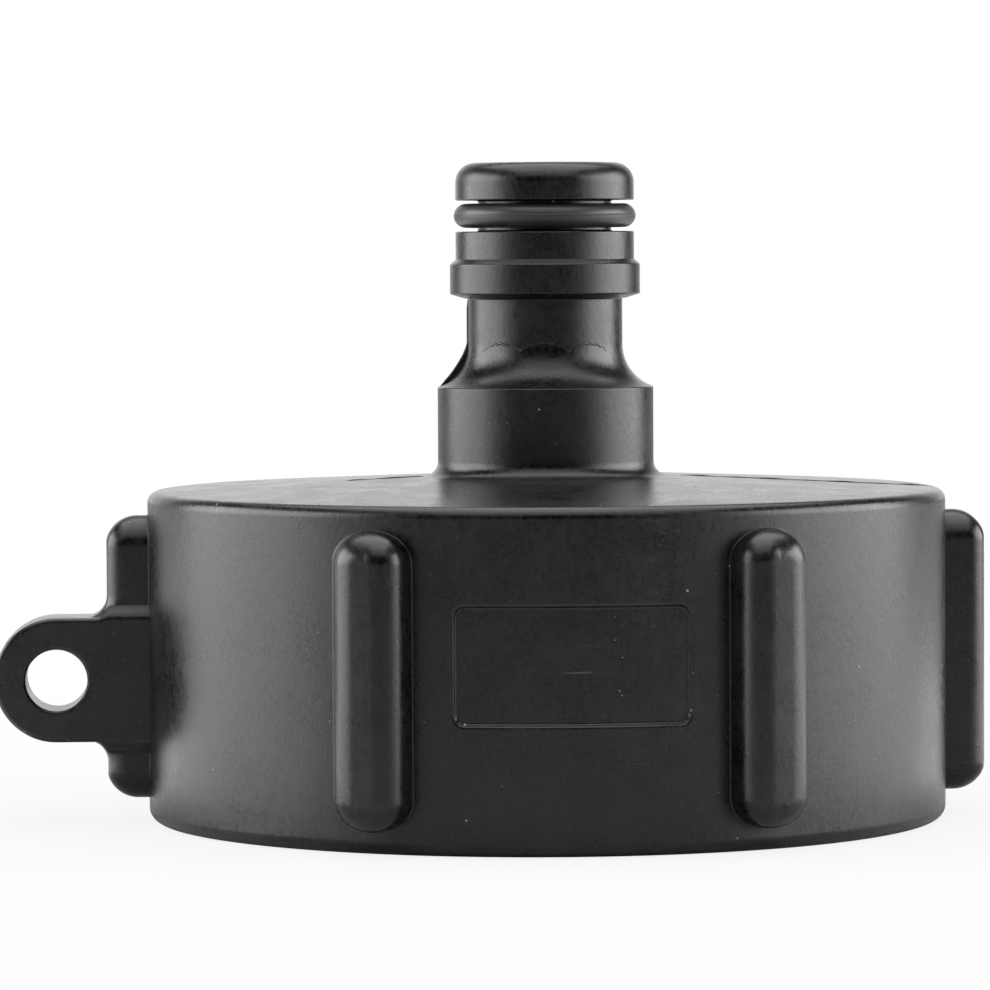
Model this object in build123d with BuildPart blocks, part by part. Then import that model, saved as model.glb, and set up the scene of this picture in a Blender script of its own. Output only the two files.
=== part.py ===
from build123d import *
import os
from math import radians, sqrt, tan

# Tank outlet adapter: a one-piece moulded screw cap that carries a garden hose spigot.
# Sizes are in millimetres. The origin is on the spigot's axis in the plane of the cap's open
# rim, +Z points up along the spigot, the tether ear points to -X and the bare panel to -Y.

# Cap
cap_wall = 5.65
cap_rim_z = 29.5
cap_top_rise = 1.3
cap_rim_bevel = 0.6
cap_mouth_bevel = 0.8
thread_root_d = 60.4
mouth_lead_in = 0.6
ceiling_t = 4.0

# Sealing washer, which lies in a seat of its own against the cap's ceiling, above the thread
washer_t = 3.0
washer_ring_w = 6.3
washer_seat_ledge = 0.6
washer_side_gap = 0.3

# Spigot, from its foot on the cap up to its tip
base_d = 19.4
base_h = 7.95
foot_round = 1.4
flare_arc_r = 4.3
neck_d = 13.9
neck_h = 3.95
collar_d = 17.1
collar_h = 2.65
collar_ledge = 0.3
collar_lower_slope_h = 0.4
collar_upper_slope_h = 0.45
plug_d = 16.05
land_h = 2.5
groove_floor_d = 12.0
groove_w = 2.8
head_h = 3.35
head_round = 1.75

# O-ring, stretched over the head into the groove
o_ring_section_d = 2.15
o_ring_seat_gap = 0.02

# Water way through the spigot
spigot_bore_d = 9.0
base_wall = 2.5
throat_drop = 1.8
throat_half_angle = 37.0
tip_chamfer = 0.5

# Grip ribs
rib_w = 5.4
rib_l = 25.4
rib_h = 3.7
rib_round = 1.6
front_rib_angle = 26.35

# Tether ear
ear_d = 11.1
ear_t = 6.8
ear_hole_d = 5.5
ear_overhang = 4.5
ear_z = 12.87
ear_root_round = 1.9
ear_edge_bevel = 0.3

# Bare panel
panel_w = 20.0
panel_h = 10.0
panel_z = 16.15
panel_corner_r = 0.9
panel_depth = 0.4

# Radii and heights that follow from the sizes above
thread_root_r = thread_root_d / 2
cap_r = thread_root_r + cap_wall
washer_seat_r = thread_root_r - washer_seat_ledge
washer_r = washer_seat_r - washer_side_gap
base_r = base_d / 2
neck_r = neck_d / 2
collar_r = collar_d / 2
plug_r = plug_d / 2
groove_floor_r = groove_floor_d / 2
spigot_bore_r = spigot_bore_d / 2
base_bore_r = base_r - base_wall
ceiling_z = cap_rim_z - ceiling_t
washer_z = ceiling_z - washer_t
foot_z = cap_rim_z + cap_top_rise
base_top_z = foot_z + base_h
flare_side = flare_arc_r - (base_r - neck_r)
flare_top_z = base_top_z + sqrt(flare_arc_r**2 - flare_side**2)
neck_top_z = flare_top_z + neck_h
collar_z = neck_top_z + collar_lower_slope_h
collar_top_z = collar_z + collar_h
land_z = collar_top_z + collar_upper_slope_h
groove_z = land_z + land_h
head_z = groove_z + groove_w
tip_z = head_z + head_h
throat_top_z = flare_top_z - throat_drop
throat_z = throat_top_z - (base_bore_r - spigot_bore_r) / tan(radians(throat_half_angle))
rib_z = cap_rim_z / 2
rib_face_r = cap_r + rib_h
rib_root_r = (cap_r + thread_root_r) / 2
ear_x = rib_face_r + ear_overhang
ear_r = ear_d / 2

# Rib directions about the axis. The mould opens along Y, so each front and back rib has an
# upright wall on the side that faces away from the panel's middle, and leans by its own angle.
side_angles = [0, 180]
leaning_one_way = [-90 + front_rib_angle, 90 + front_rib_angle]
leaning_other_way = [-90 - front_rib_angle, 90 - front_rib_angle]


def corner(sketch, across, up):
    """The sketch's corner nearest to a place in its own plane."""
    return sketch.vertices().sort_by_distance(Vector(across, up))[0]


def grip_rib(lean):
    """A grip rib on the +X side: a long round-ended pad, from inside the cap's wall to its face.

    With a lean in degrees, one of its long walls slopes by that much from the radial direction:
    the wall on the +Y side for a lean above zero, and the one on the -Y side for one below.
    """
    spread = (rib_face_r - rib_root_r) * tan(radians(lean))
    with BuildPart() as pad:
        with BuildSketch(Plane.YZ.offset(rib_root_r)):
            with Locations((spread / 2, rib_z)):
                SlotOverall(rib_l, rib_w + abs(spread), rotation=90)
        with BuildSketch(Plane.YZ.offset(rib_face_r)):
            with Locations((0, rib_z)):
                SlotOverall(rib_l, rib_w, rotation=90)
        loft(ruled=True)
        fillet(pad.faces().sort_by(Axis.X)[-1].edges(), radius=rib_round)
    return pad.part


def turned(angles):
    """Places about the axis, one for each angle in degrees."""
    return Locations(*[Location((0, 0, 0), (0, 0, angle)) for angle in angles])


# Tether ear on the -X side: an upright tab with a round end
with BuildPart() as ear:
    with BuildSketch(Plane.XZ):
        with Locations((-ear_x, ear_z)):
            Circle(ear_r)
        with Locations((-(ear_x + rib_root_r) / 2, ear_z)):
            Rectangle(ear_x - rib_root_r, ear_d)
    extrude(amount=ear_t / 2, both=True)
    end_faces = ear.faces().filter_by(Axis.Y)
    chamfer(end_faces.edges().filter_by(lambda edge: edge.center().X < -rib_root_r), length=ear_edge_bevel)

# The rib flares out where the ear leaves it, above and below, with the rib's own rounded edges
flare_reach = ear_r + ear_root_round
with BuildPart() as ear_root:
    with BuildSketch(Plane.XZ):
        with BuildLine():
            Polyline(
                (-rib_face_r - ear_root_round, ear_z + ear_r),
                (-rib_face_r - ear_root_round, ear_z - ear_r),
            )
            RadiusArc(
                (-rib_face_r - ear_root_round, ear_z - ear_r),
                (-rib_face_r, ear_z - flare_reach),
                ear_root_round,
            )
            Polyline(
                (-rib_face_r, ear_z - flare_reach),
                (-rib_root_r, ear_z - flare_reach),
                (-rib_root_r, ear_z + flare_reach),
                (-rib_face_r, ear_z + flare_reach),
            )
            RadiusArc(
                (-rib_face_r, ear_z + flare_reach),
                (-rib_face_r - ear_root_round, ear_z + ear_r),
                ear_root_round,
            )
        make_face()
    extrude(amount=rib_w / 2, both=True)
    fillet(ear_root.faces().filter_by(Axis.Y).edges().filter_by(GeomType.CIRCLE), radius=rib_round)

# The panel's hollow: what stands outside its floor, which is curved like the cap's wall
panel_floor_r = cap_r - panel_depth
with BuildPart() as panel_hollow:
    with BuildSketch(Plane.XZ.offset(cap_r + panel_depth)):
        with Locations((0, panel_z)):
            RectangleRounded(panel_w, panel_h, panel_corner_r)
    extrude(amount=-(cap_r / 2))
    with Locations((0, 0, panel_z)):
        Cylinder(panel_floor_r, 2 * panel_h, mode=Mode.SUBTRACT)

# The moulding: cap, spigot, ribs and ear are one piece of plastic
with BuildPart() as adapter_body:
    with BuildSketch(Plane.XZ) as cap_section:
        with BuildLine():
            Polyline((0, 0), (cap_r, 0), (cap_r, cap_rim_z), (base_r, foot_z), (0, foot_z), close=True)
        make_face()
        chamfer(corner(cap_section, cap_r, cap_rim_z), length=cap_rim_bevel)
        chamfer(corner(cap_section, cap_r, 0), length=cap_mouth_bevel)
    revolve(axis=Axis.Z)

    with BuildSketch(Plane.XZ) as spigot_section:
        with BuildLine():
            Polyline((0, cap_rim_z), (base_r, cap_rim_z), (base_r, base_top_z))
            RadiusArc((base_r, base_top_z), (neck_r, flare_top_z), flare_arc_r)
            Polyline(
                (neck_r, flare_top_z),
                (neck_r, neck_top_z),
                (neck_r + collar_ledge, neck_top_z),
                (collar_r, collar_z),
                (collar_r, collar_top_z),
                (plug_r, land_z),
                (plug_r, groove_z),
                (groove_floor_r, groove_z),
                (groove_floor_r, head_z),
                (plug_r, head_z),
                (plug_r, tip_z),
                (0, tip_z),
                (0, cap_rim_z),
            )
        make_face()
        fillet(corner(spigot_section, plug_r, tip_z), radius=head_round)
    revolve(axis=Axis.Z)
    foot = adapter_body.edges().filter_by(GeomType.CIRCLE).sort_by_distance(Vector(base_r, 0, foot_z))[0]
    fillet(foot, radius=foot_round)

    with turned(side_angles):
        add(grip_rib(0))
    with turned(leaning_one_way):
        add(grip_rib(front_rib_angle))
    with turned(leaning_other_way):
        add(grip_rib(-front_rib_angle))
    add(ear_root.part)
    add(ear.part)
    add(panel_hollow.part, mode=Mode.SUBTRACT)

    # Socket for the tank's valve
    with BuildSketch(Plane.XZ):
        with BuildLine():
            Polyline(
                (0, 0),
                (thread_root_r + mouth_lead_in, 0),
                (thread_root_r, mouth_lead_in),
                (thread_root_r, washer_z),
                (washer_seat_r, washer_z),
                (washer_seat_r, ceiling_z),
                (0, ceiling_z),
                close=True,
            )
        make_face()
    revolve(axis=Axis.Z, mode=Mode.SUBTRACT)

    # Water way, wide in the base and narrow from the throat to the tip
    with BuildSketch(Plane.XZ):
        with BuildLine():
            Polyline(
                (0, washer_z),
                (base_bore_r, washer_z),
                (base_bore_r, throat_z),
                (spigot_bore_r, throat_top_z),
                (spigot_bore_r, tip_z - tip_chamfer),
                (spigot_bore_r + tip_chamfer, tip_z),
                (0, tip_z),
                close=True,
            )
        make_face()
    revolve(axis=Axis.Z, mode=Mode.SUBTRACT)

    # Tether hole
    with Locations(Plane.XZ.offset(ear_t / 2)):
        with Locations((-ear_x, ear_z)):
            Hole(ear_hole_d / 2, depth=ear_t)

with BuildPart() as spigot_o_ring:
    o_ring_r = groove_floor_r + o_ring_seat_gap + o_ring_section_d / 2
    with BuildSketch(Plane.XZ):
        with Locations((o_ring_r, (groove_z + head_z) / 2)):
            Circle(o_ring_section_d / 2)
    revolve(axis=Axis.Z)

with BuildPart() as sealing_washer:
    with BuildSketch(Plane.XY.offset(washer_z)):
        Circle(washer_r)
        Circle(washer_r - washer_ring_w, mode=Mode.SUBTRACT)
    extrude(amount=washer_t)

os.makedirs("parts", exist_ok=True)

adapter_body.part.label = "adapter_body"
export_step(adapter_body.part, "parts/adapter_body.step")

spigot_o_ring.part.label = "spigot_o_ring"
export_step(spigot_o_ring.part, "parts/spigot_o_ring.step")

sealing_washer.part.label = "sealing_washer"
export_step(sealing_washer.part, "parts/sealing_washer.step")
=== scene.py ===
import math

import bpy
import numpy as np
from mathutils import Matrix, Vector


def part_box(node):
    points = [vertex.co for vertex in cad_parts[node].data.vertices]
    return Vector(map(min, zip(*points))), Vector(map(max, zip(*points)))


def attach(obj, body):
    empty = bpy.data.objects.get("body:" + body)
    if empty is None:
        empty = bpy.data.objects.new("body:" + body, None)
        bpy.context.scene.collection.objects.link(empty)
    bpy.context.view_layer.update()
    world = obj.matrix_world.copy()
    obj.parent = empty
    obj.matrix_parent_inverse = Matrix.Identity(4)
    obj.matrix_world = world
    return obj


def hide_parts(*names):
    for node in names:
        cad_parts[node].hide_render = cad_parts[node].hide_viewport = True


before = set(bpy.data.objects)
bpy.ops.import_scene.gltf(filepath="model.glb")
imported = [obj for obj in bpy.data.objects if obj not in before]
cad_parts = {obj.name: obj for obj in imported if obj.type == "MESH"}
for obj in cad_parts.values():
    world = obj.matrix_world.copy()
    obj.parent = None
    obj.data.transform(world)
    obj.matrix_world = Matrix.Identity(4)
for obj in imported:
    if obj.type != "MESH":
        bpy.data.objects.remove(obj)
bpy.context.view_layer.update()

# The tank adapter, in metres. Heights and radii repeat the moulding's driving sizes, and what can
# be measured on the solids is measured there. +Z is up the spigot, the ear points to -X and the
# bare panel to -Y.
MM = 0.001
body_low, body_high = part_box("adapter_body")
ring_low, ring_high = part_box("spigot_o_ring")
washer_low, washer_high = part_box("sealing_washer")

# Cap
cap_r = 35.85 * MM
cap_rim_z = 29.5 * MM
foot_z = 30.8 * MM
rim_round = 1.0 * MM
mouth_round = 1.2 * MM
thread_root_r = 30.2 * MM
mouth_lead_in = 0.6 * MM
washer_seat_r = 29.6 * MM
ceiling_z = washer_high.z
washer_z = washer_low.z
base_bore_r = 7.2 * MM
washer_ring_w = 6.3 * MM

# Spigot
base_r = 9.7 * MM
base_top_z = 38.75 * MM
neck_r = 6.95 * MM
neck_ledge_r = 7.25 * MM
flare_foot_z = 39.813 * MM
flare_round = 4.05 * MM
flare_arc_r = 4.3 * MM
flare_top_z = 42.76 * MM
foot_round = 1.4 * MM
neck_top_z = 46.71 * MM
collar_r = 8.55 * MM
collar_z = 47.11 * MM
collar_top_z = 49.76 * MM
plug_r = 8.025 * MM
land_z = 50.21 * MM
groove_z = 52.71 * MM
groove_floor_r = 6.0 * MM
head_z = 55.51 * MM
tip_z = body_high.z
head_round = 1.75 * MM
spigot_bore_r = 4.5 * MM
throat_z = 37.38 * MM
throat_top_z = 40.96 * MM
throat_round = 0.6 * MM
edge_round = 0.16 * MM

# Grip ribs
rib_w = 5.4 * MM
rib_l = 25.4 * MM
rib_face_r = body_high.x
rib_z = cap_rim_z / 2
rib_side_round = 1.6 * MM
rib_inner_round = 2.2 * MM
rib_end_round = 2.6 * MM
rib_end_drop = 2.75 * MM
rib_foot_round = 0.1 * MM
rib_crown = 0.1 * MM
front_rib_angle = 26.35

# Tether ear
ear_r = 5.55 * MM
ear_x = body_low.x + ear_r
ear_z = 12.87 * MM
ear_half_t = 3.4 * MM
ear_hole_r = 2.75 * MM
ear_edge_round = 0.35 * MM
ear_root_round = 1.9 * MM
ear_ledge = 1.1 * MM

# Bare panel
panel_w = 20.0 * MM
panel_h = 10.0 * MM
panel_z = 16.15 * MM
panel_corner_r = 0.9 * MM
panel_depth = 0.4 * MM
panel_edge = 0.12 * MM
panel_edge_round = 0.26 * MM
panel_edge_drop = 0.16 * MM

# Thread of the socket
thread_pitch = 6.0 * MM
thread_depth = 2.4 * MM
thread_turns = 2.75
thread_start_z = 1.7 * MM
thread_root_t = 1.0 * MM
thread_run_out = 0.14


def surface(name, points, wrap_rows=True, wrap_columns=True, cap_ends=False, end_faces=None, crease=38.0):
    """An object whose faces join a grid of points, given as an array of rows, columns and xyz.

    Rows or columns may wrap round to close the surface, and cap_ends closes each end row with a
    fan to the row's middle point, or the last row with end_faces, which name its columns. Edges
    sharper than the crease, in degrees, stay crisp.
    """
    rows, columns = points.shape[:2]
    index = np.arange(rows * columns).reshape(rows, columns)
    below = index if wrap_rows else index[:-1]
    above = np.roll(index, -1, axis=0) if wrap_rows else index[1:]
    if wrap_columns:
        right_below, right_above = np.roll(below, -1, axis=1), np.roll(above, -1, axis=1)
    else:
        below, above, right_below, right_above = below[:, :-1], above[:, :-1], below[:, 1:], above[:, 1:]
    quads = np.stack([below, right_below, right_above, above], axis=-1).reshape(-1, 4)
    vertices = points.reshape(-1, 3)
    faces = quads.tolist()
    if cap_ends:
        first, last = rows * columns, rows * columns + 1
        start, end = index[0], index[-1]
        faces += np.stack([np.full(columns, first), np.roll(start, -1), start], axis=-1).tolist()
        vertices = np.concatenate([vertices, [points[0].mean(axis=0)]])
        if end_faces is None:
            faces += np.stack([np.full(columns, last), end, np.roll(end, -1)], axis=-1).tolist()
            vertices = np.concatenate([vertices, [points[-1].mean(axis=0)]])
        else:
            faces += [list(dict.fromkeys(end[face % columns].tolist())) for face in end_faces]
    mesh = bpy.data.meshes.new(name)
    mesh.from_pydata(vertices, [], faces)
    mesh.shade_smooth()
    mesh.set_sharp_from_angle(angle=math.radians(crease))
    piece = bpy.data.objects.new(name, mesh)
    bpy.context.scene.collection.objects.link(piece)
    return piece


def graded(start, stop, step):
    """Points on the straight line from start to stop, which is left out.

    They are a step apart, with two more close to each end that keep the shading flat up to it.
    """
    length = np.linalg.norm(stop - start)
    count = max(int(length / step), 1)
    share = np.linspace(0, 1, count + 1)[:-1]
    near = min(0.06 * MM / max(length, 1e-9), 0.25)
    share = np.sort(np.concatenate([share, [near, 1 - near]]))
    return start + share[:, None] * (stop - start)


def rounded_loop(corners, step=0.8 * MM, arc_step=9.0):
    """A closed outline through corners, each given as (across, up, radius of its round).

    Each corner is replaced by the arc that touches both of its sides, and the sides between the
    arcs are straight.
    """
    spots = np.array([corner[:2] for corner in corners])
    radii = np.array([corner[2] for corner in corners])
    back = np.roll(spots, 1, axis=0) - spots
    ahead = np.roll(spots, -1, axis=0) - spots
    back /= np.linalg.norm(back, axis=1)[:, None]
    ahead /= np.linalg.norm(ahead, axis=1)[:, None]
    half = np.arccos(np.clip((back * ahead).sum(axis=1), -1, 1)) / 2
    reach = radii / np.tan(half)
    starts, ends = spots + back * reach[:, None], spots + ahead * reach[:, None]
    bisector = back + ahead
    bisector /= np.linalg.norm(bisector, axis=1)[:, None]
    centres = spots + bisector * (radii / np.sin(half))[:, None]
    outline = []
    for i, radius in enumerate(radii):
        if radius > 0:
            from_angle = math.atan2(*(starts[i] - centres[i])[::-1])
            to_angle = math.atan2(*(ends[i] - centres[i])[::-1])
            swing = (to_angle - from_angle + math.pi) % (2 * math.pi) - math.pi
            steps = max(int(abs(math.degrees(swing)) / arc_step), 3)
            angles = from_angle + swing * np.linspace(0, 1, steps + 1)[:-1]
            outline.append(centres[i] + radius * np.stack([np.cos(angles), np.sin(angles)], axis=-1))
        outline.append(graded(ends[i], starts[(i + 1) % len(radii)], step))
    return np.concatenate(outline)


def turned_on_axis(outline, angles):
    """Rows of points that carry an outline of (radius, height) round the Z axis."""
    radius, height = outline[:, 0][:, None], outline[:, 1][:, None]
    return np.stack(
        [radius * np.cos(angles), radius * np.sin(angles), height + 0 * angles], axis=-1
    )


def smooth_step(value, low, high):
    """Zero below low, one above high, and an even S-curve between them."""
    share = np.clip((value - low) / (high - low), 0, 1)
    return share * share * (3 - 2 * share)


def finished(piece, material, slot, *nodes):
    """Gives a piece its material, seats it on the body and hides the solids it stands for; the slot is not
    used.
    """
    piece.data.materials.append(material)
    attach(piece, "root")
    if nodes:
        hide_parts(*nodes)
    return piece


# Camera: the photograph's long lens, a little above the spigot's neck and to the panel's left
PHOTO_SIDE = 990
camera_distance = 0.504
camera_lens = 203.6
camera_sensor = 36.0
camera_azimuth = math.radians(-3.6)
camera_height = 51.5 * MM
axis_px = 546.0
eye_level_px = 245.0
camera_roll = math.radians(-0.3)

focal_px = camera_lens / camera_sensor * PHOTO_SIDE
pan = math.atan((axis_px - PHOTO_SIDE / 2) / focal_px)
tilt = math.atan((PHOTO_SIDE / 2 - eye_level_px) / focal_px)
camera_data = bpy.data.cameras.new("camera")
camera_data.lens = camera_lens
camera_data.sensor_width = camera_sensor
camera_data.clip_start = 0.01
camera_data.clip_end = 20
camera = bpy.data.objects.new("camera", camera_data)
bpy.context.scene.collection.objects.link(camera)
camera.location = (
    camera_distance * math.sin(camera_azimuth),
    -camera_distance * math.cos(camera_azimuth),
    camera_height,
)
camera.rotation_mode = "XYZ"
upright = Matrix.Rotation(camera_azimuth + pan, 3, "Z") @ Matrix.Rotation(math.pi / 2 - tilt, 3, "X")
camera.rotation_euler = (upright @ Matrix.Rotation(camera_roll, 3, "Z")).to_euler()
bpy.context.scene.camera = camera


def new_material(name):
    """An empty node material and its surface shader."""
    material = bpy.data.materials.new(name)
    material.use_nodes = True
    return material, material.node_tree.nodes["Principled BSDF"]


class Nodes:
    """Short calls for the nodes of one tree."""

    def __init__(self, tree):
        self.tree = tree

    def add(self, kind, settings=None, **inputs):
        """A new node of a kind, with its settings, and with inputs named by their labels."""
        node = self.tree.nodes.new(kind)
        for key, value in (settings or {}).items():
            setattr(node, key, value)
        for key, value in inputs.items():
            self.put(node.inputs[key.replace("_", " ")], value)
        return node

    def put(self, socket, value):
        """Links an output to a socket, or writes a plain value there."""
        if isinstance(value, bpy.types.NodeSocket):
            self.tree.links.new(value, socket)
        else:
            socket.default_value = value

    def calc(self, operation, first, second=0.0, clamp=False):
        """The output of one sum, product or comparison."""
        node = self.tree.nodes.new("ShaderNodeMath")
        node.operation = operation
        node.use_clamp = clamp
        self.put(node.inputs[0], first)
        self.put(node.inputs[1], second)
        return node.outputs[0]

    def ramp(self, value, low, high):
        """Zero where the value is under low and one where it is over high."""
        node = self.tree.nodes.new("ShaderNodeMapRange")
        node.interpolation_type = "SMOOTHSTEP"
        self.put(node.inputs["Value"], value)
        node.inputs["From Min"].default_value = low
        node.inputs["From Max"].default_value = high
        return node.outputs["Result"]

    def noise(self, place, size, detail=2.0, rough=0.5, distortion=0.0):
        """Cloudy noise whose patches are about a size across, in metres."""
        node = self.add("ShaderNodeTexNoise", Vector=place, Scale=1 / size, Detail=detail)
        node.inputs["Roughness"].default_value = rough
        node.inputs["Distortion"].default_value = distortion
        return node.outputs["Fac"]

    def specks(self, place, spacing, largest, share):
        """Round dots in a share of the cells of a scattered grid, up to a largest radius in metres."""
        cells = self.add("ShaderNodeTexVoronoi", {"feature": "F1"}, Vector=place, Scale=1 / spacing)
        parts = self.add("ShaderNodeSeparateColor", Color=cells.outputs["Color"])
        chosen = self.calc("LESS_THAN", parts.outputs["Red"], share)
        radius = self.calc("MULTIPLY", parts.outputs["Green"], largest / spacing)
        inside = self.calc("SUBTRACT", radius, cells.outputs["Distance"])
        return self.calc("MULTIPLY", self.ramp(inside, 0.0, 0.25 * largest / spacing), chosen)

    def scratches(self, place, turn, length, width, share):
        """Hairlines that run one way: the narrow middle band of a noise that is stretched along them."""
        mapping = self.add("ShaderNodeMapping", Vector=place)
        mapping.inputs["Rotation"].default_value = turn
        mapping.inputs["Scale"].default_value = (1 / length, 40 / length, 40 / length)
        wave = self.add("ShaderNodeTexNoise", Vector=mapping.outputs[0], Scale=1.0, Detail=0.0)
        offset = self.calc("ABSOLUTE", self.calc("SUBTRACT", wave.outputs["Fac"], 0.5))
        line = self.calc("SUBTRACT", 1.0, self.ramp(offset, 0.0, width))
        patches = self.noise(place, length * 1.7, detail=1.0)
        return self.calc("MULTIPLY", line, self.ramp(patches, 1 - share, 1.05 - share))


def moulded_plastic():
    """Black moulded plastic: semi-matt, cloudy, with a fine grain, hairline scratches and dust."""
    material, shader = new_material("moulded_plastic")
    nodes = Nodes(material.node_tree)
    place = nodes.add("ShaderNodeTexCoord").outputs["Object"]
    cloud = nodes.noise(place, 5.0 * MM, detail=5.0, rough=0.62, distortion=0.4)
    upright = nodes.add("ShaderNodeMapping", Vector=place)
    upright.inputs["Scale"].default_value = (1.0, 1.0, 0.55)
    grain = nodes.noise(upright.outputs[0], 0.4 * MM, detail=4.0, rough=0.75)
    fine = nodes.noise(place, 0.16 * MM, detail=2.0)
    scuffs = nodes.calc(
        "MAXIMUM",
        nodes.scratches(place, (0.3, 0.9, 0.9), 14.0 * MM, 0.004, 0.42),
        nodes.scratches(place, (0.9, 1.3, -0.5), 9.0 * MM, 0.005, 0.40),
    )
    dust = nodes.calc(
        "MAXIMUM",
        nodes.specks(place, 1.9 * MM, 0.16 * MM, 0.45),
        nodes.specks(place, 0.8 * MM, 0.06 * MM, 0.5),
    )
    marks = nodes.calc("MAXIMUM", nodes.calc("MULTIPLY", scuffs, 0.2), dust)
    mottle = nodes.calc("ADD", nodes.calc("MULTIPLY", cloud, 0.45), nodes.calc("MULTIPLY", grain, 0.55))
    tint = nodes.add("ShaderNodeMix", {"data_type": "RGBA"})
    nodes.put(tint.inputs["Factor"], nodes.ramp(mottle, 0.42, 0.60))
    tint.inputs["A"].default_value = (0.0008, 0.0008, 0.0008, 1)
    tint.inputs["B"].default_value = (0.0072, 0.0072, 0.0073, 1)
    dusty = nodes.add("ShaderNodeMix", {"data_type": "RGBA"})
    nodes.put(dusty.inputs["Factor"], nodes.calc("MULTIPLY", marks, 0.75))
    nodes.put(dusty.inputs["A"], tint.outputs["Result"])
    dusty.inputs["B"].default_value = (0.34, 0.34, 0.33, 1)
    nodes.put(shader.inputs["Base Color"], dusty.outputs["Result"])
    gloss = nodes.calc("ADD", nodes.calc("MULTIPLY", nodes.ramp(mottle, 0.3, 0.7), 0.14), 0.23)
    nodes.put(shader.inputs["Roughness"], nodes.calc("ADD", gloss, nodes.calc("MULTIPLY", marks, 0.25)))
    relief = nodes.calc("ADD", nodes.calc("MULTIPLY", grain, 0.6), nodes.calc("MULTIPLY", fine, 0.25))
    relief = nodes.calc("ADD", relief, nodes.calc("MULTIPLY", marks, 0.5))
    bump = nodes.add("ShaderNodeBump", Height=relief, Strength=1.0, Distance=0.032 * MM)
    nodes.put(shader.inputs["Normal"], bump.outputs["Normal"])
    shader.inputs["IOR"].default_value = 1.46
    return material


def seal_rubber():
    """Smooth black nitrile rubber with a trace of grease and dust."""
    material, shader = new_material("seal_rubber")
    nodes = Nodes(material.node_tree)
    place = nodes.add("ShaderNodeTexCoord").outputs["Object"]
    cloud = nodes.noise(place, 2.2 * MM, detail=4.0, rough=0.6)
    dust = nodes.specks(place, 1.3 * MM, 0.05 * MM, 0.35)
    tint = nodes.add("ShaderNodeMix", {"data_type": "RGBA"})
    nodes.put(tint.inputs["Factor"], nodes.calc("ADD", nodes.calc("MULTIPLY", cloud, 0.12), dust, clamp=True))
    tint.inputs["A"].default_value = (0.012, 0.012, 0.012, 1)
    tint.inputs["B"].default_value = (0.14, 0.14, 0.135, 1)
    nodes.put(shader.inputs["Base Color"], tint.outputs["Result"])
    nodes.put(shader.inputs["Roughness"], nodes.calc("ADD", nodes.calc("MULTIPLY", cloud, 0.2), 0.3))
    grain = nodes.noise(place, 0.25 * MM, detail=2.0)
    bump = nodes.add("ShaderNodeBump", Height=grain, Strength=0.15, Distance=0.02 * MM)
    nodes.put(shader.inputs["Normal"], bump.outputs["Normal"])
    shader.inputs["IOR"].default_value = 1.48
    return material


def washer_rubber():
    """Matt black sheet rubber with a pale bloom and a calendered grain."""
    material, shader = new_material("washer_rubber")
    nodes = Nodes(material.node_tree)
    place = nodes.add("ShaderNodeTexCoord").outputs["Object"]
    bloom = nodes.noise(place, 7.0 * MM, detail=5.0, rough=0.65)
    tint = nodes.add("ShaderNodeMix", {"data_type": "RGBA"})
    nodes.put(tint.inputs["Factor"], nodes.ramp(bloom, 0.35, 0.75))
    tint.inputs["A"].default_value = (0.018, 0.018, 0.018, 1)
    tint.inputs["B"].default_value = (0.045, 0.045, 0.044, 1)
    nodes.put(shader.inputs["Base Color"], tint.outputs["Result"])
    nodes.put(shader.inputs["Roughness"], nodes.calc("ADD", nodes.calc("MULTIPLY", bloom, 0.2), 0.6))
    grain = nodes.noise(place, 0.35 * MM, detail=3.0)
    bump = nodes.add("ShaderNodeBump", Height=grain, Strength=0.35, Distance=0.03 * MM)
    nodes.put(shader.inputs["Normal"], bump.outputs["Normal"])
    return material


plastic = moulded_plastic()
o_ring_rubber = seal_rubber()
sheet_rubber = washer_rubber()


def panel_hollow(across, up):
    """How far the wall is set back at a place on the panel's side.

    It is the panel's full depth inside a rectangle with round corners and nothing well outside
    it. The edge between first rounds over in a quarter of an ellipse and then drops in an
    S-curve. The distance to the rectangle is the usual one: that of a smaller rectangle, less
    the corner's radius.
    """
    beyond_x = np.abs(across) - (panel_w / 2 - panel_corner_r)
    beyond_z = np.abs(up - panel_z) - (panel_h / 2 - panel_corner_r)
    outside = np.hypot(np.maximum(beyond_x, 0), np.maximum(beyond_z, 0))
    distance = outside + np.minimum(np.maximum(beyond_x, beyond_z), 0) - panel_corner_r
    rounding = np.clip(1 - distance / panel_edge_round, 0, 1)
    over = panel_edge_drop * (1 - np.sqrt(1 - rounding**2))
    return over + (panel_depth - panel_edge_drop) * (1 - smooth_step(distance, -panel_edge, 0.02 * MM))


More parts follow.
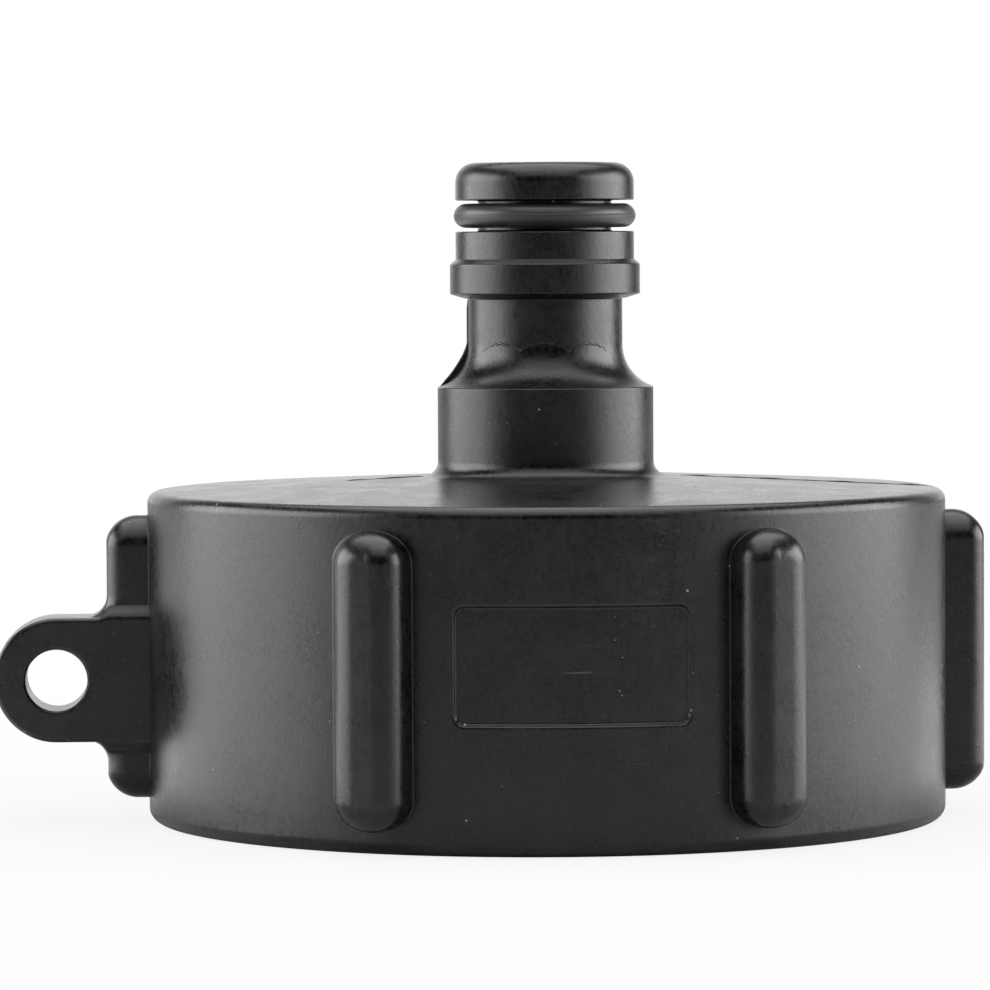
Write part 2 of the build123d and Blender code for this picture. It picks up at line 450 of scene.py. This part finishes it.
def cap_housing():
    """The cap's wall, top and socket as one closed surface.

    An outline of (radius, height) goes once round the wall's section and is carried round the
    axis. The outside is set back by the panel's hollow, and the columns are closer together at
    the panel's two upright edges, as the rows are at its level ones.
    """
    outline = rounded_loop(
        [
            (cap_r, 0, mouth_round),
            (cap_r, cap_rim_z, rim_round),
            (base_r + 0.2 * MM, foot_z, 0),
            (base_bore_r, foot_z - 0.5 * MM, 0),
            (base_bore_r, ceiling_z, 0.2 * MM),
            (washer_seat_r, ceiling_z, 0.2 * MM),
            (washer_seat_r, washer_z, 0.1 * MM),
            (thread_root_r, washer_z, 0.1 * MM),
            (thread_root_r, mouth_lead_in, 0.15 * MM),
            (thread_root_r + mouth_lead_in, 0, 0.15 * MM),
        ],
        step=1.6 * MM,
    )
    level_edges = [panel_z - panel_h / 2, panel_z + panel_h / 2]
    extra = np.concatenate([edge + np.linspace(-0.9, 0.9, 23) * MM for edge in level_edges])
    wall = outline[(outline[:, 0] > cap_r - 1e-7)]
    wall_heights = np.unique(np.round(np.concatenate([wall[:, 1], extra]), 7))
    first = int(np.argmax(outline[:, 0] > cap_r - 1e-7))
    last = len(outline) - 1 - int(np.argmax(outline[::-1, 0] > cap_r - 1e-7))
    fine_wall = np.stack([np.full(len(wall_heights), cap_r), wall_heights], axis=-1)
    outline = np.concatenate([outline[:first], fine_wall, outline[last + 1:]])

    edge_angle = math.asin(panel_w / 2 / cap_r)
    upright_edges = np.concatenate(
        [side * edge_angle + np.linspace(-1.1, 1.1, 27) * MM / cap_r for side in (-1, 1)]
    )
    angles = np.concatenate([np.linspace(-math.pi, math.pi, 400, endpoint=False), upright_edges])
    angles = np.unique(np.round(angles, 6)) - math.pi / 2

    points = turned_on_axis(outline, angles)
    facing_panel = (points[..., 1] < 0) & (np.hypot(points[..., 0], points[..., 1]) > cap_r - 1e-6)
    across = cap_r * np.cos(angles)[None, :] + 0 * points[..., 0]
    inset = np.where(facing_panel, panel_hollow(across, points[..., 2]), 0)
    scale = 1 - inset / cap_r
    points[..., 0] *= scale
    points[..., 1] *= scale
    return surface("cap_housing", points)


def hose_spigot():
    """The spigot as one closed surface of revolution, rooted inside the cap's top.

    Its outline goes up the outside, over the tip and down the water way. The foot's round ends
    level with the cap's sloping top, and the outline then turns in under it.
    """
    slope = math.atan((foot_z - cap_rim_z) / (cap_r - base_r))
    foot_reach = foot_round * math.tan((math.pi / 2 + slope) / 2)
    skirt_r = base_r + foot_reach + 0.35 * MM
    skirt_z = foot_z - (skirt_r - base_r) * math.tan(slope) + 0.004 * MM
    outline = rounded_loop(
        [
            (base_bore_r, ceiling_z, 0.2 * MM),
            (base_r, ceiling_z + 1.0 * MM, 0),
            (skirt_r, skirt_z - 1.5 * MM, 0),
            (skirt_r, skirt_z, 0),
            (base_r, foot_z, foot_round),
            (base_r, base_top_z, edge_round),
            (neck_r, flare_foot_z, flare_round),
            (neck_r, neck_top_z, 0.12 * MM),
            (neck_ledge_r, neck_top_z, 0.08 * MM),
            (collar_r, collar_z, edge_round),
            (collar_r, collar_top_z, edge_round),
            (plug_r, land_z, 0.1 * MM),
            (plug_r, groove_z, edge_round),
            (groove_floor_r, groove_z, 0.15 * MM),
            (groove_floor_r, head_z, 0.15 * MM),
            (plug_r, head_z, 0.1 * MM),
            (plug_r, tip_z, head_round),
            (spigot_bore_r + 0.5 * MM, tip_z, 0.1 * MM),
            (spigot_bore_r, tip_z - 0.5 * MM, 0.1 * MM),
            (spigot_bore_r, throat_top_z, throat_round),
            (base_bore_r, throat_z, throat_round),
        ],
        step=0.5 * MM,
        arc_step=6.0,
    )
    angles = np.linspace(0, 2 * math.pi, 240, endpoint=False)
    return surface("hose_spigot", turned_on_axis(outline, angles))


RIB_SIDE_STEPS = 90
RIB_END_STEPS = 44


def rib_outline():
    """A long round-ended outline of unit directions: the spot on its spine and the way outwards.

    The spine is the middle line between the centres of the two round ends.
    """
    half_spine = (rib_l - rib_w) / 2
    side = np.linspace(-half_spine, half_spine, RIB_SIDE_STEPS, endpoint=False)
    end = np.linspace(0, math.pi, RIB_END_STEPS, endpoint=False)
    top, foot = np.full(RIB_END_STEPS, half_spine), np.full(RIB_END_STEPS, -half_spine)
    spine = np.concatenate([side, top, -side, foot])
    turn = np.concatenate([0 * side, end, math.pi + 0 * side, math.pi + end])
    return spine, np.cos(turn), np.sin(turn)


def grip_rib(name, angle, lean=0.0, ear_flare=False):
    """A rib as rings that follow its round-ended outline, from the middle of its face to its root.

    In the rib's own directions (out along its radius, across and up) a ring lies at one distance
    out. The rings first come down over the edge in a quarter of an ellipse, whose size grows from
    the long sides to the round ends and is larger on the side away from the lean. They go on down
    the wall, and out again through a small round that ends on the cap's wall. A lean in degrees
    slopes the wall on one side, so the outline widens and shifts to that side by the tangent of
    the lean for each step inwards. Where the ear leaves the rib, the face flares out in two
    quarter circles.
    """
    spine, normal_across, normal_up = rib_outline()
    half_w = rib_w / 2
    roundness = normal_up**2
    slope = math.tan(math.radians(abs(lean)))
    to_side = 1 if lean >= 0 else -1
    inner = smooth_step(-to_side * normal_across, 0.0, 1.0) if lean else 0
    side_round = rib_side_round + (rib_inner_round - rib_side_round) * inner
    inset_full = side_round + (rib_end_round - side_round) * roundness
    drop_full = side_round + (rib_end_drop - side_round) * roundness

    def wall_spot(out, offset):
        """The outline at a distance out from the axis, moved outwards by an offset."""
        spread = (rib_face_r - out) * slope
        across = (half_w + spread / 2 + offset) * normal_across + to_side * spread / 2
        return across, rib_z + spine + (half_w + offset) * normal_up

    def face_at(up):
        """The face's distance from the axis at a height, with the flare to the ear.

        Inside the ear's plate the face steps back, clear of the ear's hole.
        """
        from_ear = np.abs(up - ear_z)
        past_ear = np.clip(ear_r + ear_root_round - from_ear, 0, ear_root_round)
        flare = ear_root_round - np.sqrt(ear_root_round**2 - past_ear**2)
        flare *= 1 - 0.6 * smooth_step(ear_r - from_ear, 0.4 * MM, 1.2 * MM)
        return rib_face_r + (flare if ear_flare else 0) + 0 * up

    rings = []
    for share in np.concatenate([np.linspace(0.04, 0.9, 7), [0.97]]):
        width = (half_w - inset_full) * share
        across, up = width * normal_across, rib_z + spine + width * normal_up
        crown = rib_crown * (width / half_w) ** 2
        rings.append((face_at(up) - crown, across, up))
    crown = rib_crown * ((half_w - inset_full) / half_w) ** 2
    for turn in np.linspace(0, math.pi / 2, 13):
        drop = crown + (drop_full - crown) * (1 - math.cos(turn))
        offset = -inset_full * (1 - math.sin(turn))
        across, up = wall_spot(rib_face_r - drop, offset)
        rings.append((face_at(up) - drop, across, up))
    wall_top = rib_face_r - drop_full
    spot_across, spot_up = wall_spot(wall_top, 0)
    ground = np.sqrt(cap_r**2 - spot_across**2)
    foot = np.minimum(rib_foot_round, (wall_top - ground) * 0.75)
    face_lift = face_at(spot_up) - rib_face_r
    for share in (0.04, 0.3, 0.6, 0.96):
        out = wall_top + (ground + foot - wall_top) * share
        across, up = wall_spot(out, 0)
        rings.append((out + face_lift * (1 - share), across, up))
    for turn in np.linspace(0, math.pi / 2, 8):
        height, offset = foot * (1 - math.sin(turn)), foot * (1 - math.cos(turn))
        across, up = wall_spot(ground + height, offset)
        out = np.sqrt(cap_r**2 - across**2) + height
        across, up = wall_spot(out, offset)
        rings.append((np.sqrt(cap_r**2 - across**2) + height, across, up))
    tuck_across, tuck_up = rings[-1][1], rings[-1][2]
    rings.append((np.sqrt(cap_r**2 - tuck_across**2) - 0.8 * MM, tuck_across * 0.98, tuck_up))

    # The innermost ring is closed across the spine, each point joined to the one opposite
    opposite = 2 * RIB_SIDE_STEPS + RIB_END_STEPS
    near = np.arange(-(RIB_END_STEPS // 2), RIB_SIDE_STEPS + RIB_END_STEPS // 2)
    middle_faces = np.stack([near, near + 1, opposite - near - 1, opposite - near], axis=-1)

    out, across, up = (np.stack(part) for part in zip(*rings))
    turn = math.radians(angle)
    x = out * math.cos(turn) - across * math.sin(turn)
    y = out * math.sin(turn) + across * math.cos(turn)
    points = np.stack([x, y, up], axis=-1)[::-1]
    return surface(name, points, wrap_rows=False, cap_ends=True, end_faces=middle_faces)


def tether_ear():
    """The ear: an upright plate round its hole, closed like a flattened ring.

    Each ray from the hole's centre meets the hole's circle and the plate's outline, which is a
    circle on the free side and two level edges that run into the cap's wall. Rings go from the
    plate's middle out over the face's round edge, and in again to the hole. On the rib the edge
    spreads into a shallow ledge that joins the rib's side.
    """
    turns = np.linspace(0, 2 * math.pi, 260, endpoint=False)
    ray_x, ray_z = np.cos(turns), np.sin(turns)
    buried = 3.0 * MM
    side_start, flush = 2.5 * MM, 0.08 * MM
    reach_x = -ear_x - (cap_r - buried)
    with np.errstate(divide="ignore"):
        to_level = np.where(np.abs(ray_z) > 1e-6, ear_r / np.abs(ray_z), 1.0)
        to_root = np.where(ray_x > 1e-6, reach_x / np.maximum(ray_x, 1e-6), 1.0)
    reach = np.where(ray_x > 0, np.minimum(to_level, to_root), ear_r)
    edge_x, edge_z = reach * ray_x, reach * ray_z
    free = ray_x <= 0
    normal_x = np.where(free, ray_x, 0.0)
    normal_z = np.where(free, ray_z, np.sign(ray_z) * (to_level < to_root))
    world_x = ear_x + edge_x
    ledge = smooth_step(world_x, -rib_face_r - 0.9 * MM, -rib_face_r + 0.4 * MM) * (normal_z != 0)

    rings = []
    side = np.linspace(0, 1, 8)
    for share in side:
        rings.append((ledge * ear_ledge, share * side_start))
    turn = np.linspace(0, math.pi / 2, 9)
    for angle in turn:
        free_offset = -ear_edge_round * (1 - math.cos(angle))
        free_y = ear_half_t - ear_edge_round * (1 - math.sin(angle))
        share = angle / (math.pi / 2)
        ledge_offset = ear_ledge * (1 - share) - 0.1 * MM * share
        rib_side = rib_w / 2 - flush
        ledge_y = rib_side + (ear_half_t - rib_side) * smooth_step(share, -0.25, 1.0)
        offset = free_offset * (1 - ledge) + ledge_offset * ledge
        rings.append((offset, free_y * (1 - ledge) + ledge_y * ledge))
    outer = [
        (edge_x + normal_x * offset, edge_z + normal_z * offset, y + 0 * edge_x) for offset, y in rings
    ]
    face_start_x, face_start_z = outer[-1][0], outer[-1][1]
    hole_x, hole_z = ear_hole_r * ray_x, ear_hole_r * ray_z
    hole_edge = ear_edge_round * 0.7
    face = []
    for share in (0.05, 0.2, 0.4, 0.6, 0.8, 0.94):
        rim_x, rim_z = hole_x + hole_edge * ray_x, hole_z + hole_edge * ray_z
        face.append(
            (
                face_start_x + (rim_x - face_start_x) * share,
                face_start_z + (rim_z - face_start_z) * share,
                ear_half_t + 0 * hole_x,
            )
        )
    lip = []
    for angle in np.linspace(0, math.pi / 2, 7):
        grow = hole_edge * (1 - math.sin(angle))
        y = ear_half_t - hole_edge * (1 - math.cos(angle))
        lip.append((hole_x + grow * ray_x, hole_z + grow * ray_z, y + 0 * hole_x))
    bore = [(hole_x, hole_z, share * 2.6 * MM + 0 * hole_x) for share in (1.0, 0.7, 0.35)]
    upper = outer + face + lip + bore
    lower = [(x, z, -y) for x, z, y in upper[::-1]][:-1]
    bore_middle = [(hole_x, hole_z, 0 * hole_x)]
    rows = upper + bore_middle + lower
    x, z, y = (np.stack(part) for part in zip(*rows))
    points = np.stack([ear_x + x, y, ear_z + z], axis=-1)
    return surface("tether_ear", points[:, ::-1])


def thread_ridge():
    """The socket's coarse right-handed thread: a ridge section carried along a helix.

    The section is a buttress: a steep upper flank that bears on the valve's thread, a flat crest
    with round edges and a slanted lower flank. It is rooted in the wall and sinks back into it
    over the first and last seventh of a turn.
    """
    turns = np.linspace(0, thread_turns, int(thread_turns * 150))
    run_out = smooth_step(turns, 0, thread_run_out) * smooth_step(thread_turns - turns, 0, thread_run_out)
    rooted_r = thread_root_r + thread_root_t
    crest_r = thread_root_r - thread_depth
    section = rounded_loop(
        [
            (rooted_r, -1.9 * MM, 0),
            (rooted_r, 1.2 * MM, 0),
            (thread_root_r, 1.2 * MM, 0),
            (crest_r, 0.75 * MM, 0.4 * MM),
            (crest_r, -0.55 * MM, 0.4 * MM),
            (thread_root_r, -1.9 * MM, 0),
        ],
        step=1.0 * MM,
        arc_step=18.0,
    )
    sunk = 0.35
    radius = rooted_r - (rooted_r - section[:, 0]) * (sunk + (1 - sunk) * run_out[:, None])
    height = thread_start_z + 1.9 * MM + thread_pitch * turns[:, None] + section[:, 1]
    angle = 2 * math.pi * turns[:, None]
    points = np.stack([radius * np.cos(angle), radius * np.sin(angle), height], axis=-1)
    return surface("thread_ridge", points[:, ::-1], wrap_rows=False, cap_ends=True)


def o_ring():
    """The O-ring: a circle carried round the axis, with the mould's fine seam along its outside.

    The section's radius rises by a narrow bell curve at the seam, more on one side of the ring
    than on the other, and the ring leans a little round its way, as a stretched ring does.
    """
    centre_r = (ring_high.x + groove_floor_r) / 2
    section_r = (ring_high.z - ring_low.z) / 2
    middle_z = (ring_high.z + ring_low.z) / 2
    seam_at = math.radians(4)
    seam_height, seam_spread = 0.045 * MM, 0.045
    waver = 0.03 * MM
    around = np.linspace(-math.pi, math.pi, 72, endpoint=False)
    close = seam_at + np.linspace(-0.16, 0.16, 17)
    around = np.unique(np.concatenate([around, close]))[:, None]
    angles = np.linspace(0, 2 * math.pi, 240, endpoint=False)[None, :]
    seam = seam_height * np.exp(-(((around - seam_at) / seam_spread) ** 2))
    seam = seam * (0.6 + 0.4 * np.cos(angles + 0.6))
    width = (ring_high.x - groove_floor_r) / 2
    radius = centre_r + (width + seam) * np.cos(around) + 0 * angles
    height = middle_z + (section_r + seam) * np.sin(around) + waver * np.sin(2 * angles + 0.8)
    points = np.stack([radius * np.cos(angles), radius * np.sin(angles), height], axis=-1)
    return surface("o_ring", points)


def flat_washer():
    """The washer: a flat ring with just broken edges, a closed surface of revolution."""
    outer_r = washer_high.x
    inner_r = outer_r - washer_ring_w
    broken = 0.15 * MM
    outline = rounded_loop(
        [
            (outer_r, washer_low.z, broken),
            (outer_r, washer_high.z, broken),
            (inner_r, washer_high.z, broken),
            (inner_r, washer_low.z, broken),
        ],
        step=1.0 * MM,
        arc_step=20.0,
    )
    angles = np.linspace(0, 2 * math.pi, 240, endpoint=False)
    return surface("flat_washer", turned_on_axis(outline, angles))


def ridge_along(name, spots, outward, half_width, height, sunk):
    """A thin raised line on the skin, a closed strip with a rounded crest.

    It follows spots on the surface, stands its height out along the outward directions, and is
    rooted below the skin. Its width and height taper to nothing at both ends.
    """
    ahead = np.gradient(spots, axis=0)
    ahead /= np.linalg.norm(ahead, axis=1)[:, None]
    sideways = np.cross(ahead, outward)
    share = np.linspace(0, 1, len(spots))
    taper = np.sqrt(np.clip(np.minimum(share, 1 - share) * 12, 0.02, 1))
    tall = (np.asarray(height) * taper)[:, None]
    wide = (half_width * taper)[:, None]
    rows = [spots - outward * sunk - sideways * wide]
    for turn in np.linspace(0, math.pi, 7):
        rows.append(spots - sideways * wide * math.cos(turn) + outward * tall * math.sin(turn))
    rows.append(spots - outward * sunk + sideways * wide)
    points = np.stack(rows, axis=1)
    return surface(name, points, wrap_rows=False, cap_ends=True)


def cone_ridge(name, side, start_r, end_r):
    """The mould's parting line on the cap's sloping top, along the X axis on one side.

    Its height wavers by the product of two sines of the radius, as flash does.
    """
    radius = np.linspace(start_r, end_r, 90)
    slope = (foot_z - cap_rim_z) / (cap_r - base_r)
    height = foot_z - (radius - base_r) * slope
    spots = np.stack([side * radius, 0 * radius, height], axis=-1)
    outward = np.stack([side * slope + 0 * radius, 0 * radius, 1 + 0 * radius], axis=-1)
    waver = 0.5 + 0.5 * np.sin(radius / (1.9 * MM)) * np.sin(radius / (0.7 * MM) + 1)
    tall = (0.05 + 0.07 * waver) * MM
    return ridge_along(name, spots, outward, half_width=0.09 * MM, height=tall, sunk=0.2 * MM)


def neck_flash():
    """A thin fin of flash where the mould's halves meet, down the neck and flare on the ear's side.

    It lies in the plane of the ear. Its edge stands out from the spigot's own outline by a
    little on the neck and by more across the hollow of the flare.
    """
    neck_steps, flare_steps, flare_sweep = 24, 40, math.radians(66)
    turns = np.linspace(0, flare_sweep, flare_steps)
    neck_heights = np.linspace(neck_top_z - 0.1 * MM, flare_top_z, neck_steps, endpoint=False)
    flare_radii = neck_r + flare_arc_r * (1 - np.cos(turns))
    radius = np.concatenate([neck_r + 0 * neck_heights, flare_radii])
    height = np.concatenate([neck_heights, flare_top_z - flare_arc_r * np.sin(turns)])
    across = np.concatenate([np.ones(neck_steps), np.cos(turns)])
    upward = np.concatenate([np.zeros(neck_steps), np.sin(turns)])
    hollow = np.concatenate([np.zeros(neck_steps), np.sin(turns / flare_sweep * math.pi)])
    tall = (0.13 + 0.36 * hollow) * MM
    spots = np.stack([-radius, 0 * radius, height], axis=-1)
    outward = np.stack([-across, 0 * across, upward], axis=-1)
    return ridge_along("neck_flash", spots, outward, half_width=0.14 * MM, height=tall, sunk=0.3 * MM)


def flow_line():
    """The wavy weld line round the front of the neck's foot: three scallops and a fine ripple."""
    first, last, one_scallop = -146.0, -42.0, 34.6
    degrees = np.linspace(first, last, 260)
    angles = np.radians(degrees)
    scallop = np.abs(np.sin(math.pi * (degrees - first) / one_scallop))
    height = (41.95 + 0.75 * scallop**0.6 + 0.05 * np.sin(angles * 61)) * MM
    below = np.maximum(flare_top_z - height, 0)
    radius = neck_r + flare_arc_r - np.sqrt(flare_arc_r**2 - below**2)
    spots = np.stack([radius * np.cos(angles), radius * np.sin(angles), height], axis=-1)
    up = below / flare_arc_r
    across = np.sqrt(1 - up**2)
    outward = np.stack([across * np.cos(angles), across * np.sin(angles), up], axis=-1)
    tall = 0.06 * MM * (0.35 + 0.65 * np.abs(np.sin(angles * 9)))
    return ridge_along("flow_line", spots, outward, half_width=0.11 * MM, height=tall, sunk=0.1 * MM)


finished(cap_housing(), plastic, "moulded_plastic", "adapter_body")
finished(hose_spigot(), plastic, "moulded_plastic")
for number, (angle, lean, flare) in enumerate(
    [
        (0, 0, False),
        (180, 0, True),
        (-90 - front_rib_angle, -front_rib_angle, False),
        (-90 + front_rib_angle, front_rib_angle, False),
        (90 - front_rib_angle, -front_rib_angle, False),
        (90 + front_rib_angle, front_rib_angle, False),
    ],
    start=1,
):
    finished(grip_rib(f"grip_rib_{number}", angle, lean, flare), plastic, "moulded_plastic")
finished(tether_ear(), plastic, "moulded_plastic")
finished(thread_ridge(), plastic, "moulded_plastic")
finished(cone_ridge("parting_line_1", -1, 11.0 * MM, 18.0 * MM), plastic, "moulded_plastic")
finished(cone_ridge("parting_line_2", 1, 12.0 * MM, 34.6 * MM), plastic, "moulded_plastic")
finished(neck_flash(), plastic, "moulded_plastic")
finished(flow_line(), plastic, "moulded_plastic")
finished(o_ring(), o_ring_rubber, "seal_rubber", "spigot_o_ring")
finished(flat_washer(), sheet_rubber, "washer_rubber", "sealing_washer")


def pale_floor():
    """A wide pale floor that the camera sees nearly white, with the part's soft shadow on it.

    It lies a hair under the cap's rim, so that the two faces don't coincide.
    """
    half, level = 2.5, -0.05 * MM
    corners = [(-half, -half, level), (half, -half, level), (half, half, level), (-half, half, level)]
    mesh = bpy.data.meshes.new("floor")
    mesh.from_pydata(corners, [], [(0, 1, 2, 3)])
    floor = bpy.data.objects.new("floor", mesh)
    bpy.context.scene.collection.objects.link(floor)
    material, shader = new_material("floor")
    nodes = Nodes(material.node_tree)
    shader.inputs["Base Color"].default_value = (0.5, 0.5, 0.5, 1)
    shader.inputs["Roughness"].default_value = 0.9
    shader.inputs["Specular IOR Level"].default_value = 0.1
    rays = nodes.add("ShaderNodeLightPath")
    glow = nodes.add("ShaderNodeEmission", Color=(1, 1, 1, 1), Strength=1.0)
    mix = nodes.add("ShaderNodeMixShader")
    place = nodes.add("ShaderNodeTexCoord").outputs["Object"]
    away = nodes.add("ShaderNodeVectorMath", {"operation": "LENGTH"})
    nodes.put(away.inputs[0], place)
    veil = nodes.calc("ADD", nodes.calc("MULTIPLY", nodes.ramp(away.outputs["Value"], 0.05, 0.2), 0.15), 0.85)
    nodes.put(mix.inputs[0], nodes.calc("MULTIPLY", rays.outputs["Is Camera Ray"], veil))
    nodes.put(mix.inputs[1], shader.outputs[0])
    nodes.put(mix.inputs[2], glow.outputs[0])
    nodes.put(material.node_tree.nodes["Material Output"].inputs[0], mix.outputs[0])
    mesh.materials.append(material)


def softbox(name, direction, height, distance, size, power):
    """A square lamp that looks at the part's middle from a direction, in degrees round from the lens."""
    lamp = bpy.data.lights.new(name, "AREA")
    lamp.shape = "RECTANGLE"
    lamp.size, lamp.size_y = size
    lamp.energy = power
    holder = bpy.data.objects.new(name, lamp)
    bpy.context.scene.collection.objects.link(holder)
    turn = camera_azimuth + math.radians(direction)
    holder.location = (distance * math.sin(turn), -distance * math.cos(turn), height)
    aim = Vector((0, 0, 20 * MM)) - holder.location
    holder.rotation_euler = aim.to_track_quat("-Z", "Y").to_euler()
    holder.visible_camera = False


def glowing_table(name, place, size, power):
    """A lit patch of the table beside or before the part, which the lower wall mirrors."""
    lamp = bpy.data.lights.new(name, "AREA")
    lamp.shape = "RECTANGLE"
    lamp.size, lamp.size_y = size
    lamp.energy = power
    holder = bpy.data.objects.new(name, lamp)
    bpy.context.scene.collection.objects.link(holder)
    holder.location = (*place, 1.0 * MM)
    holder.rotation_euler = (math.pi, 0, 0)
    holder.visible_camera = False


def studio_world():
    """White behind the part for the lens, with a dim room for its light and its reflections.

    Rays of gloss see the white backdrop only behind the part, by the world's own direction.
    """
    world = bpy.data.worlds.new("studio")
    world.use_nodes = True
    bpy.context.scene.world = world
    nodes = Nodes(world.node_tree)
    rays = nodes.add("ShaderNodeLightPath")
    way = nodes.add("ShaderNodeSeparateXYZ", Vector=nodes.add("ShaderNodeTexCoord").outputs["Generated"])
    behind = nodes.ramp(way.outputs["Y"], 0.75, 0.97)
    backdrop = nodes.calc("ADD", nodes.calc("MULTIPLY", behind, 1.5), 0.002)
    clear = nodes.calc("MAXIMUM", rays.outputs["Is Camera Ray"], rays.outputs["Is Transmission Ray"])
    gloss = nodes.calc("MULTIPLY", rays.outputs["Is Glossy Ray"], backdrop)
    fill = nodes.calc("MULTIPLY", rays.outputs["Is Diffuse Ray"], 0.03)
    strength = nodes.calc("MAXIMUM", nodes.calc("MAXIMUM", clear, gloss), fill)
    background = world.node_tree.nodes["Background"]
    background.inputs["Color"].default_value = (1, 1, 1, 1)
    nodes.put(background.inputs["Strength"], strength)


pale_floor()
softbox("softbox_left", -95, 0.13, 0.75, (0.78, 0.7), 10.7)
softbox("softbox_right", 95, 0.13, 0.75, (0.72, 0.7), 11.1)
softbox("softbox_above", 180, 1.1, 0.15, (1.3, 1.3), 16.0)
softbox("edge_left", -62, 0.13, 0.75, (0.28, 0.7), 1.3)
softbox("edge_right", 62, 0.13, 0.75, (0.28, 0.7), 1.4)
softbox("softbox_front", 0, 0.66, 0.48, (0.9, 0.45), 2.1)
glowing_table("table_left", (-0.225, 0.03), (0.35, 0.16), 0.22)
glowing_table("table_right", (0.225, 0.03), (0.35, 0.16), 0.18)
glowing_table("table_front", (0.0, -0.062), (0.13, 0.036), 0.0015)
studio_world()

bpy.context.scene.view_settings.view_transform = "Standard"
